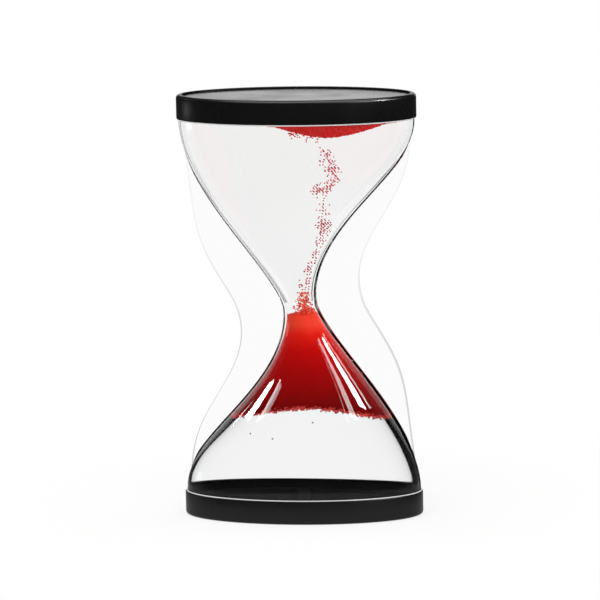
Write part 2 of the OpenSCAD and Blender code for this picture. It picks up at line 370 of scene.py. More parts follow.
@dataclass(frozen=True)
class BeadFinish:
    """Dyed polymer beads, wet all round: deep red, with hardly any gloss of their own, and
    painted light in tones that change with height.
    """

    name: str
    painted_light_tones: tuple[tuple[float, str], ...]
    tone_mm: float = 0.9
    tone_share: float = 0.35
    grain_depth_mm: float = 0.1
    grain_strength: float = 0.4
    roughness: float = 0.45
    ior: float = 1.1

    def material(self) -> Material:
        """Builds the material: painted light, lighter higher up, for light that shows through
        where the beads lie thinner.

        Returns:
            The finished material: a slow change of tone with height that is painted light,
                single
            beads that are a little lighter or darker, and the bump of beads packed side by side.
        """
        material, tree = new_material(self.name)
        (low, lowest), *between, (high, highest) = self.painted_light_tones
        place = add_node(tree, "ShaderNodeTexCoord")
        axes = add_node(tree, "ShaderNodeSeparateXYZ", inputs={0: place.outputs["Object"]})
        # Painted light: the colour ramps with height, lighter higher up
        height = add_node(tree, "ShaderNodeMapRange", inputs={
            "Value": axes.outputs["Z"], "From Min": low * MM, "From Max": high * MM,
        })
        cells = add_node(tree, "ShaderNodeTexVoronoi", inputs={
            "Vector": place.outputs["Object"], "Scale": 1 / (self.tone_mm * MM),
        })
        single = add_node(tree, "ShaderNodeSeparateColor", inputs={0: cells.outputs["Color"]})
        tone = add_node(
            tree, "ShaderNodeMath", {"operation": "MULTIPLY_ADD", "use_clamp": True},
            {0: single.outputs["Red"], 1: self.tone_share, 2: height.outputs["Result"]},
        )
        colour = add_node(tree, "ShaderNodeValToRGB", inputs={"Fac": tone.outputs[0]})
        stops = colour.color_ramp.elements
        stops[0].color = linear(lowest)
        stops[1].color = linear(highest)
        for z, shade in between:
            stops.new((z - low) / (high - low)).color = linear(shade)
        bump = add_node(tree, "ShaderNodeBump", {"invert": True}, {
            "Strength": self.grain_strength,
            "Distance": self.grain_depth_mm * MM,
            "Height": cells.outputs["Distance"],
        })
        shader = add_node(tree, "ShaderNodeBsdfPrincipled", inputs={
            "Base Color": colour.outputs["Color"],
            "Roughness": self.roughness,
            "IOR": self.ior,
            "Normal": bump.outputs["Normal"],
        })
        add_node(tree, "ShaderNodeOutputMaterial", inputs={"Surface": shader.outputs["BSDF"]})
        return material


# Polished acrylic: bright where it meets air, faint where liquid wets it. The web's rim is grey
# with painted shade, darker low and lighter high, for the black base seen bent through the edge
SHELL_FINISHES = {
    Wall.OUTER: ClearPlastic(),
    Wall.LOWER_BORE: ClearPlastic("clear_acrylic_lower_bore", "#FDFEFE", ior=1.18),
    Wall.UPPER_BORE: ClearPlastic("clear_acrylic_upper_bore", "#FEFEFE", ior=1.42),
    Wall.WEB_RIM: ClearPlastic("clear_acrylic_web_rim_painted_shade", "#BEC0C0", 1.003, "#EEF0F0"),
    Wall.WEB_FACE: ClearPlastic("clear_acrylic_web_face", ior=1.3),
}
# Painted highlight: a half-gloss line of cement painted white where the shell goes into the cap,
# for the glint on the shell's collar
CEMENT_PAINTED_HIGHLIGHT = Moulding("cement_painted_highlight", "#F2F2F0", 0.3, spread=0.05)
# Moulded ABS: satin black outside, dull where cement wets it, and gloss on the plates
SATIN_ABS = Moulding("black_abs_satin_moulded", "#0D0D0E", 0.3, grain_depth_mm=0.005)
CEMENTED_ABS = Moulding("black_abs_under_cement", "#1A1A1B", 0.6, ior=1.01)
GLOSS_ABS = Moulding("black_abs_gloss_plate", "#0C0C0D", 0.2, grain_depth_mm=0.003)
# Solids that close a mouth, by the end of their names: cement and liquid wet them all round,
# so the acrylic all but vanishes and the rubber shows no gloss
CLOSURES = {
    "end_plate": ClearPlastic("clear_acrylic_cemented", ior=1.004),
    "mouth_seal": Moulding("black_seal_rubber", "#1E1E1F", 0.7, ior=1.01),
    "fill_plug": Moulding("black_plug_rubber", "#1E1E1F", 0.65, ior=1.01),
}
# Beads by heights in millimetres, with painted light: painted shade where they lie deep, painted
# glow where they thin out
PACKED_BEADS = BeadFinish(
    "red_beads_packed_painted_light",
    ((38, "#740000"), (51, "#B00001"), (58, "#CE0402"), (63, "#EE1C10"), (67, "#FF462E")),
    tone_share=0.03,
    grain_depth_mm=0.03,
)
# Painted highlight: single beads at the free edge lighter and pinker, for glints between them,
# and lighter higher up
EDGE_BEADS = BeadFinish(
    "red_beads_at_free_edge_painted_highlight", ((32, "#B20408"), (64, "#FF6A60")), tone_mm=0.5, tone_share=0.36
)
# Painted light: lighter higher above the neck, where the beads thin out
CROWN_BEADS = BeadFinish(
    "red_beads_at_neck_painted_light", ((66, "#FF3820"), (90, "#FF9474")), tone_mm=0.5, tone_share=0.4
)
# Painted light: lighter towards the ceiling
GATHERED_BEADS = BeadFinish(
    "red_beads_gathered_painted_light", ((126, "#F00E14"), (150, "#FF5048")), tone_mm=0.6, tone_share=0.2
)
# Painted light: rising beads lighter higher up
LOOSE_BEADS = BeadFinish(
    "red_beads_loose_painted_light", ((60, "#CC141C"), (200, "#FF565C")), tone_mm=0.6, tone_share=0.5
)
# Painted shade: stray beads darker than the rest, darker still lower down
STRAY_BEADS = BeadFinish("red_beads_adrift_painted_shade", ((20, "#4A0406"), (60, "#6A0A0C")))
# Solids of loose beads, which keep their shape
LOOSE_NODES = {
    "rising_beads_low": LOOSE_BEADS,
    "rising_beads_middle": LOOSE_BEADS,
    "rising_beads_high": LOOSE_BEADS,
    "stray_beads": STRAY_BEADS,
}


# Modelling


class Bench:
    """Small modelling steps that several pieces share."""

    bead_segments: int = 7
    bead_rings: int = 5
    bead_shape: tuple[float, float, float] = (1, 0.94, 0.88)

    @staticmethod
    def clear_selection() -> None:
        """Leaves edit mode and deselects everything."""
        if bpy.context.object and bpy.context.object.mode != "OBJECT":
            bpy.ops.object.mode_set(mode="OBJECT")
        bpy.ops.object.select_all(action="DESELECT")

    @classmethod
    def only(cls, *objects: Object) -> None:
        """Selects some objects and nothing else.

        Args:
            objects: what to select. The last one becomes active.
        """
        cls.clear_selection()
        for obj in objects:
            obj.select_set(True)
        bpy.context.view_layer.objects.active = objects[-1]

    @staticmethod
    @contextmanager
    def editing() -> Iterator[None]:
        """Puts the active object in edit mode for the steps inside, and back after them.

        Returns:
            A context for a with statement.
        """
        bpy.ops.object.mode_set(mode="EDIT")
        yield
        bpy.ops.object.mode_set(mode="OBJECT")

    @staticmethod
    def name(obj: Object, name: str) -> Object:
        """Names an object and its mesh alike, and returns the object."""
        obj.name = obj.data.name = name
        return obj

    @staticmethod
    def pick(obj: Object, kind: str, test: Test) -> None:
        """Selects in edit mode the elements that pass a test.

        Args:
            obj: the mesh in edit mode.
            kind: EDGE or FACE.
            test: says of a bmesh element whether it is wanted.
        """
        bpy.ops.mesh.select_mode(type=kind)
        bpy.ops.mesh.select_all(action="DESELECT")
        shape = bmesh.from_edit_mesh(obj.data)
        for item in shape.edges if kind == "EDGE" else shape.faces:
            if test(item):
                item.select_set(True)
        shape.select_flush_mode()
        bmesh.update_edit_mesh(obj.data)

    @classmethod
    def round_off(cls, obj: Object, test: Test, size: float, segments: int) -> None:
        """Bevels the edges that pass a test, by a size in millimetres."""
        cls.pick(obj, "EDGE", test)
        bpy.ops.mesh.bevel(offset=size * MM, segments=segments, affect="EDGES")

    @classmethod
    def inset(cls, obj: Object, test: Test, width: float) -> None:
        """Insets the faces that pass a test, by a width in millimetres."""
        cls.pick(obj, "FACE", test)
        bpy.ops.mesh.inset(thickness=width * MM)

    @staticmethod
    def push(z: float) -> None:
        """Extrudes the selected faces up by a height in millimetres."""
        bpy.ops.mesh.extrude_region_move(TRANSFORM_OT_translate={"value": (0, 0, z * MM)})

    @staticmethod
    def angles(count: int) -> np.ndarray:
        """Even angles round a circle, in radians."""
        return np.arange(count) * 2 * math.pi / count

    @classmethod
    def loft(cls, name: str, rings: np.ndarray, ends: bool = True) -> Object:
        """Models a tube: a cylinder, cut across into levels and shaped ring by ring.

        Args:
            name: the new object's name.
            rings: places in metres, level by level, counter-clockwise seen from above.
            ends: whether the first and the last ring are closed. Where they are open, an
                attribute "level" on the points keeps the number of each one's ring.

        Returns:
            The new object.
        """
        levels, points = rings.shape[:2]
        fill = "NGON" if ends else "NOTHING"
        cls.clear_selection()
        bpy.ops.mesh.primitive_cylinder_add(
            vertices=points, radius=1, depth=levels - 1, end_fill_type=fill
        )
        obj = cls.name(bpy.context.object, name)
        with cls.editing():
            cls.pick(obj, "EDGE", lambda edge: edge.verts[0].co.z * edge.verts[1].co.z < 0)
            bpy.ops.mesh.subdivide(number_cuts=levels - 2)
        mesh = obj.data
        flat = np.empty(len(mesh.vertices) * 3)
        mesh.vertices.foreach_get("co", flat)
        grid = flat.reshape(-1, 3)
        level = np.rint(grid[:, 2] + (levels - 1) / 2).astype(np.int32)
        turn = np.arctan2(grid[:, 1], grid[:, 0]) / (2 * math.pi) * points
        spot = np.rint(turn).astype(int) % points
        mesh.vertices.foreach_set("co", rings[level, spot].ravel())
        if not ends:
            mesh.attributes.new("level", "INT", "POINT").data.foreach_set("value", level)
        mesh.update()
        return obj

    @classmethod
    def smooth(cls, obj: Object, angle: float = 35.0) -> None:
        """Shades an object smooth across edges flatter than an angle in degrees."""
        cls.only(obj)
        bpy.ops.object.shade_smooth_by_angle(angle=math.radians(angle))

    @classmethod
    def beads(cls, name: str, places: np.ndarray, radii: np.ndarray, seed: int) -> Object:
        """Models one uneven bead and copies it to many places in one mesh.

        Args:
            name: the new object's name.
            places: centres in metres.
            radii: radii in metres.
            seed: seed of each bead's turn.

        Returns:
            The new object.
        """
        cls.clear_selection()
        bpy.ops.mesh.primitive_uv_sphere_add(
            segments=cls.bead_segments, ring_count=cls.bead_rings, radius=1
        )
        pattern = bpy.context.object
        with cls.editing():
            bpy.ops.mesh.quads_convert_to_tris()
            bpy.ops.transform.resize(value=cls.bead_shape)
        verts = np.array([v.co for v in pattern.data.vertices])
        faces = np.array([p.vertices for p in pattern.data.polygons])
        bpy.data.objects.remove(pattern, do_unlink=True)
        draw = np.random.default_rng(seed)
        turns = draw.normal(size=(len(places), 4))
        turns /= np.linalg.norm(turns, axis=1)[:, None]
        scalar, axis = turns[:, None, :1], turns[:, None, 1:]
        twist = 2 * np.cross(axis, verts)
        cloud = verts + scalar * twist + np.cross(axis, twist)
        cloud = cloud * radii[:, None, None] + places[:, None, :]
        index = faces[None] + (np.arange(len(places)) * len(verts))[:, None, None]
        mesh = bpy.data.meshes.new(name)
        mesh.from_pydata(cloud.reshape(-1, 3).tolist(), [], index.reshape(-1, 3).tolist())
        mesh.update()
        obj = bpy.data.objects.new(name, mesh)
        bpy.context.scene.collection.objects.link(obj)
        mesh.polygons.foreach_set("use_smooth", np.ones(len(mesh.polygons), bool))
        return obj

    @classmethod
    def join(cls, obj: Object, other: Object) -> None:
        """Joins another object into one."""
        cls.only(other, obj)
        bpy.ops.object.join()

    @staticmethod
    def scatter(
        draw: np.random.Generator, pitch: float, half_n: tuple[int, int]
    ) -> np.ndarray:
        """Spreads points in staggered rows, each a little off its place.

        Args:
            draw: where the random shifts come from.
            pitch: distance between neighbours in millimetres.
            half_n: how many columns and rows lie on each side of the middle.

        Returns:
            The points as x and y in millimetres.
        """
        columns, rows = (range(-n, n + 1) for n in half_n)
        rise = math.sqrt(3) / 2
        grid = np.array(
            [((i + j % 2 / 2) * pitch, j * pitch * rise) for i in columns for j in rows]
        )
        return grid + draw.uniform(-JITTER, JITTER, grid.shape)


# The vessel


@dataclass(frozen=True)
class VesselForm:
    """Outlines of the vessel and its webs, in millimetres, with heights from the neck."""

    face_z: float = 72.5
    shell_z: float = 67.1
    ceiling_z: float = 63.5
    flare_z: float = 63.5
    shoulder_z: float = 59.9
    mouth_a: float = 40.3
    mouth_b: float = 20.3
    wall: float = 1.8
    neck_w: float = 11.4
    neck_d: float = 11.4
    flare_bend: float = 1.68
    flare_swell: float = 0.92
    vessel_sway: float = 4.2
    vessel_sway_z: float = 25.7
    web_t: float = 3.2
    waist_w: float = 44.2
    shoulder_w: float = 77.4
    web_bend: float = 0.83
    web_sway: float = 5.0
    web_sway_z: float = 19.2
    web_ledge: float = 0.05
    web_round: float = 0.2
    fillet: float = 1.2
    round_n: int = 4
    face_n: int = 7
    fillet_n: int = 8
    bulge_n: int = 53
    halvings: int = 40

    def flare(self, z: float) -> float:
        """Share of the way from neck width to mouth width at a height."""
        u = min(abs(z) / self.flare_z, 1)
        return math.sin(math.pi / 2 * u**self.flare_bend) ** self.flare_swell

    @staticmethod
    def sway(z: float, reach: float, peak: float, peak_z: float) -> float:
        """Sideways shift of a section.

        Args:
            z: height from the neck.
            reach: height where the shift has run out.
            peak: widest shift.
            peak_z: height of the widest shift.

        Returns:
            The shift, to the left above the neck and to the right below it.
        """
        u, k = min(abs(z) / reach, 1), peak_z / reach
        power = (1 / (k * k) - 1) / 2
        shift = peak * (u / k) * ((1 - u * u) / (1 - k * k)) ** power
        return -math.copysign(shift, z)

    def middle(self, z: float) -> float:
        """Sideways place of the vessel's axis at a height."""
        return self.sway(z, self.flare_z, self.vessel_sway, self.vessel_sway_z)

    def half_width(self, z: float) -> float:
        """Outer half width of the vessel at a height."""
        return self.neck_w / 2 + (self.mouth_a - self.neck_w / 2) * self.flare(z)

    def half_depth(self, z: float) -> float:
        """Outer half depth of the vessel at a height."""
        return self.neck_d / 2 + (self.mouth_b - self.neck_d / 2) * self.flare(z)

    def web_edge(self, z: float, side: int) -> float:
        """Sideways place of the web's edge.

        Args:
            z: height from the neck.
            side: 1 for the right and -1 for the left.

        Returns:
            The place, from mid-width.
        """
        u = min(abs(z) / self.shoulder_z, 1)
        swell = math.sin(math.pi / 2 * u**self.web_bend) ** 2
        half = self.waist_w / 2 + (self.shoulder_w - self.waist_w) / 2 * swell
        return self.sway(z, self.shoulder_z, self.web_sway, self.web_sway_z) + side * half

    def bore(
        self, z: float, angles: np.ndarray, gap: float = 0, share: float = 1
    ) -> np.ndarray:
        """Points of the bore at one height.

        Args:
            z: height from the neck.
            angles: angles round the bore in radians.
            gap: how far the points are drawn in from the wall.
            share: share of the way from the axis to those points.

        Returns:
            One point for each angle.
        """
        w = share * (self.half_width(z) - self.wall - gap)
        b = share * (self.half_depth(z) - self.wall - gap)
        x = self.middle(z) + w * np.cos(angles)
        return np.stack([x, b * np.sin(angles), np.full_like(angles, z)], axis=1)

    def web_side(self, z: float, side: int) -> tuple[np.ndarray, float]:
        """Outline of one quarter of a section, from the web's edge in to the bulge.

        Args:
            z: height from the neck.
            side: 1 for the right and -1 for the left.

        Returns:
            Points as distances to that side of the vessel's axis and depths, and the angle
            where the bulge takes over.
        """
        w, b, t = self.half_width(z), self.half_depth(z), self.web_t / 2
        meet = w * math.sqrt(1 - (t / b) ** 2)
        edge = max(side * (self.web_edge(z, side) - self.middle(z)), meet + self.web_ledge)
        room = edge - meet
        bevel, fillet = min(self.web_round, room / 3), min(self.fillet, room / 2)
        low, high = 0.0, math.pi / 2
        for _ in range(self.halvings):
            turn = (low + high) / 2
            normal = Vector((math.cos(turn) / w, math.sin(turn) / b)).normalized()
            if b * math.sin(turn) + fillet * normal.y < t + fillet:
                low = turn
            else:
                high = turn
        hub = (w * math.cos(turn) + fillet * normal.x, t + fillet)
        start = math.atan2(-normal.y, -normal.x)
        points = [(edge, 0.0), (edge, (t - bevel) / 2)]
        for i in range(self.round_n + 1):
            a = math.pi / 2 * i / self.round_n
            points.append((edge - bevel + bevel * math.cos(a), t - bevel + bevel * math.sin(a)))
        for i in range(1, self.face_n):
            points.append((edge - bevel + (hub[0] - edge + bevel) * i / self.face_n, t))
        for i in range(self.fillet_n + 1):
            a = -math.pi / 2 + (start + math.pi / 2) * i / self.fillet_n
            points.append((hub[0] + fillet * math.cos(a), hub[1] + fillet * math.sin(a)))
        return np.array(points), turn

    def outline(self, z: float) -> np.ndarray:
        """Outer outline of a section, counter-clockwise from the right web's edge.

        Args:
            z: height from the neck.

        Returns:
            The points in millimetres.
        """
        (right, first), (left, last) = self.web_side(z, 1), self.web_side(z, -1)
        turns = np.linspace(first, math.pi - last, self.bulge_n + 2)[1:-1]
        w, b = self.half_width(z), self.half_depth(z)
        bulge = np.stack([w * np.cos(turns), b * np.sin(turns)], axis=1)
        rear = np.concatenate([right, bulge, (left * (-1, 1))[::-1]])
        front = (rear[1:-1] * (1, -1))[::-1]
        flat = np.concatenate([rear, front])
        x = flat[:, 0] + self.middle(z)
        return np.stack([x, flat[:, 1], np.full_like(x, z)], axis=1)

    def place(self, points: np.ndarray) -> np.ndarray:
        """Millimetres from the neck to metres in the frame."""
        return (points + (0, 0, self.face_z)) * MM


@dataclass
class ClearVessel:
    """The clear body: both half shells welded into one, and the liquid that fills it.

    A face of the web counts as flat where its normal is more than face_on along Y.
    """

    form: VesselForm
    levels: int = 150
    liquid_gap: float = 0.05
    liquid_n: int = 96
    face_on: float = 0.99

    def shell(self) -> Object:
        """Models the welded shell as one hollow tube and dresses its surfaces.

        Returns:
            The shell, polished outside and wetted in its bore.
        """
        form = self.form
        heights = np.linspace(-form.shell_z, form.shell_z, self.levels)
        outer = np.stack([form.outline(z) for z in heights])
        rim = outer[-1] / (form.mouth_a, form.mouth_b, 1)
        angles = np.arctan2(rim[:, 1], rim[:, 0])
        inner = np.stack([form.bore(z, angles) for z in heights])
        rings = np.concatenate([outer, inner[::-1], outer[:1]])
        if rings.shape[1] % 4:
            raise ValueError("the outline needs a multiple of four points")
        obj = Bench.loft("clear_shell", form.place(rings), ends=False)
        with Bench.editing():
            bpy.ops.mesh.select_all(action="SELECT")
            bpy.ops.mesh.remove_doubles(threshold=WELD)
            bpy.ops.mesh.normals_make_consistent(inside=False)
        Bench.smooth(obj)
        dress(obj, *(SHELL_FINISHES[wall] for wall in Wall))
        self.mark_walls(obj)
        return settle(obj, "clear_acrylic", "front_half_shell", "rear_half_shell")

    def mark_walls(self, obj: Object) -> None:
        """Gives each face of the shell the finish of its wall.

        Args:
            obj: the shell, with the number of each point's ring in "level".
        """
        level = obj.data.attributes["level"].data
        web_y = (self.form.web_t / 2 + FACE_SLACK) * MM
        for face in obj.data.polygons:
            low = min(level[i].value for i in face.vertices)
            if self.levels <= low < 2 * self.levels:
                upper = face.center.z > self.form.face_z * MM
                face.material_index = Wall.UPPER_BORE if upper else Wall.LOWER_BORE
            elif abs(face.center.y) < web_y:
                flat = abs(face.normal.y) > self.face_on
                face.material_index = Wall.WEB_FACE if flat else Wall.WEB_RIM
        obj.data.attributes.remove(obj.data.attributes["level"])

    def liquid(self) -> Object:
        """Models the liquid as one body that fills the bore, and dresses it.

        Returns:
            The liquid.
        """
        form, gap = self.form, self.liquid_gap
        angles = Bench.angles(self.liquid_n)
        top = form.ceiling_z - gap
        rings = [form.bore(z, angles, gap) for z in np.linspace(-top, top, self.levels)]
        obj = Bench.loft("clear_liquid_fill", form.place(np.stack(rings)))
        Bench.smooth(obj)
        dress(obj, ClearLiquid())
        return settle(obj, "clear_liquid", "clear_liquid")


# The ends


@dataclass
class EndCap:
    """One black end: the oval cap, the plate set into its face, and what closes the mouth.

    Sizes are in millimetres, with heights from mid-height. Each piece is modelled for the
    upper end and turned over for the lower one.
    """

    end: End
    cement_h: float
    half_w: float = 41.0
    half_d: float = 21.0
    face_z: float = 72.5
    height: float = 8.2
    wall: float = 0.6
    floor_z: float = 69.3
    edge_round: float = 1.2
    edge_bevel: float = 0.3
    lip: float = 2.0
    lip_chamfer: float = 0.15
    lip_chamfer_h: float = 0.12
    recess: float = 0.6
    plate_t: float = 1.2
    plate_gap: float = 0.1
    plate_round: float = 0.25
    plate_border: float = 1.0
    port_r: float = 4.05
    port_n: int = 48
    drill_h: float = 4.0
    drill_z: float = 70.0
    cement_w: float = 0.35
    cement_round: float = 0.15
    cement_lap: float = 0.05
    cement_angle: float = 40.0
    soft_angle: float = 30.0
    points: int = 192

    def oval(self, name: str, inset: float, low: float, high: float) -> Object:
        """Adds an upright oval block.

        Args:
            name: the last part of the new object's name.
            inset: how far its side lies inside the cap's.
            low: lower face.
            high: upper face.

        Returns:
            The block, with its size and place in its mesh.
        """
        Bench.clear_selection()
        bpy.ops.mesh.primitive_cylinder_add(
            vertices=self.points,
            radius=1,
            depth=(high - low) * MM,
            location=(0, 0, ((high + low) / 2 + self.face_z) * MM),
        )
        obj = Bench.name(bpy.context.object, f"{self.end.value}_{name}")
        obj.scale = ((self.half_w - inset) * MM, (self.half_d - inset) * MM, 1)
        bpy.ops.object.transform_apply(location=True, rotation=True, scale=True)
        return obj

    def at_height(self, z: float) -> Test:
        """Test of whether all of an edge or face is at a height."""
        level = (z + self.face_z) * MM
        return lambda item: all(abs(v.co.z - level) < LEVEL for v in item.verts)

    def on_rim(self, z: float) -> Test:
        """Test of whether an edge is on the cap's outer oval at a height.

        Args:
            z: the height.

        Returns:
            The test, which takes a bmesh edge.
        """
        flat, half_w, half_d = self.at_height(z), self.half_w * MM, self.half_d * MM

        def test(item: Any) -> bool:
            """Whether both ends of an edge are on the oval."""
            reach = min(math.hypot(v.co.x / half_w, v.co.y / half_d) for v in item.verts)
            return flat(item) and reach > 1 - OVAL_SLACK

        return test

    def turn(self, obj: Object) -> None:
        """Turns a piece of the upper end over for the lower end.

        Args:
            obj: the piece.
        """
        if self.end is End.LOWER:
            middle = self.face_z * MM
            half_turn = Matrix.Translation((0, 0, middle)) @ Matrix.Rotation(math.pi, 4, "Y")
            obj.data.transform(half_turn @ Matrix.Translation((0, 0, -middle)))

    def cap(self) -> Object:
        """Models the cap: an oval block, cupped for the shell and sunk for the plate.

        Returns:
            The cap, satin outside and dull in its cup.
        """
        top, edge = self.face_z, self.face_z - self.height
        obj = self.oval("cap_moulding", 0, edge, top)
        with Bench.editing():
            Bench.round_off(obj, self.on_rim(top), self.edge_round, segments=6)
            Bench.round_off(obj, self.on_rim(edge), self.edge_bevel, segments=3)
            Bench.inset(obj, self.at_height(top), self.lip - self.edge_round - self.lip_chamfer)
            bpy.ops.mesh.inset(thickness=self.lip_chamfer * MM, depth=-self.lip_chamfer_h * MM)
            Bench.push(self.lip_chamfer_h - self.recess - self.plate_t)
            Bench.inset(obj, self.at_height(edge), self.wall - self.edge_bevel)
            Bench.push(self.floor_z - edge)
        self.bore_port(obj)
        Bench.smooth(obj, self.soft_angle)
        self.turn(obj)
        dress(obj, SATIN_ABS, CEMENTED_ABS)
        self.mark_cup(obj)
        return settle(obj, "black_abs", f"{self.end.value}_cap")

    def mark_cup(self, obj: Object) -> None:
        """Gives the cup's faces, which lie against cement and liquid, their own finish.

        Args:
            obj: the cap, with that finish in its second slot.
        """
        half_w, half_d = (self.half_w - self.wall) * MM, (self.half_d - self.wall) * MM
        for face in obj.data.polygons:
            x, y, z = face.center
            depth = abs(z - self.face_z * MM)
            reach = math.hypot(x / half_w, y / half_d)
            if reach < 1 + OVAL_SLACK and depth < (self.floor_z + FACE_SLACK) * MM:
                face.material_index = 1

    def bore_port(self, obj: Object) -> None:
        """Cuts the round port for the plug's head through the cap's inner floor.

        Args:
            obj: the cap.
        """
        Bench.clear_selection()
        bpy.ops.mesh.primitive_cylinder_add(
            vertices=self.port_n,
            radius=self.port_r * MM,
            depth=self.drill_h * MM,
            location=(0, 0, (self.drill_z + self.face_z) * MM),
        )
        drill = bpy.context.object
        Bench.only(obj)
        cut = obj.modifiers.new("port", "BOOLEAN")
        cut.operation, cut.object, cut.solver = "DIFFERENCE", drill, "EXACT"
        bpy.ops.object.modifier_apply(modifier=cut.name)
        bpy.data.objects.remove(drill, do_unlink=True)

    def plate(self) -> Object:
        """Models the plate in the cap's face: an oval sheet with a softened edge.

        Returns:
            The plate.
        """
        high = self.face_z - self.recess
        obj = self.oval("cap_plate", self.lip + self.plate_gap, high - self.plate_t, high)
        with Bench.editing():
            Bench.round_off(obj, self.at_height(high), self.plate_round, segments=4)
            Bench.inset(obj, self.at_height(high), self.plate_border)
        Bench.smooth(obj, self.soft_angle)
        self.turn(obj)
        dress(obj, GLOSS_ABS)
        return settle(obj, "black_disc", f"{self.end.value}_cap_disc")

    def cement_highlight_line(self) -> Object:
        """Models the line of cement where the shell goes into the cap, painted white as a
        highlight.

        Returns:
            The line, as a thin oval ring.
        """
        edge = self.face_z - self.height
        low, high = edge - self.cement_h, edge + self.cement_lap
        obj = self.oval("cement_highlight_line", self.wall - self.cement_w, low, high)
        with Bench.editing():
            Bench.round_off(obj, self.at_height(low), self.cement_round, segments=3)
            Bench.inset(obj, self.at_height(low), self.cement_w - self.cement_round)
            Bench.inset(obj, self.at_height(high), self.cement_w)
            Bench.pick(obj, "FACE", lambda face: len(face.verts) > 4)
            bpy.ops.mesh.bridge_edge_loops()
        Bench.smooth(obj, self.cement_angle)
        self.turn(obj)
        # Painted highlight: the line is white for the glint where the shell meets the cap
        dress(obj, CEMENT_PAINTED_HIGHLIGHT)
        return settle(obj, "clear_acrylic")

    def closures(self, nodes: dict[str, Object]) -> list[Object]:
        """Dresses the solids that close this end's mouth.

        Args:
            nodes: the frame's nodes by name.

        Returns:
            The solids that were dressed.
        """
        solids = [nodes[f"{self.end.value}_{name}"] for name in CLOSURES]
        for solid, finish in zip(solids, CLOSURES.values()):
            dress(solid, finish)
        return solids


# Beads


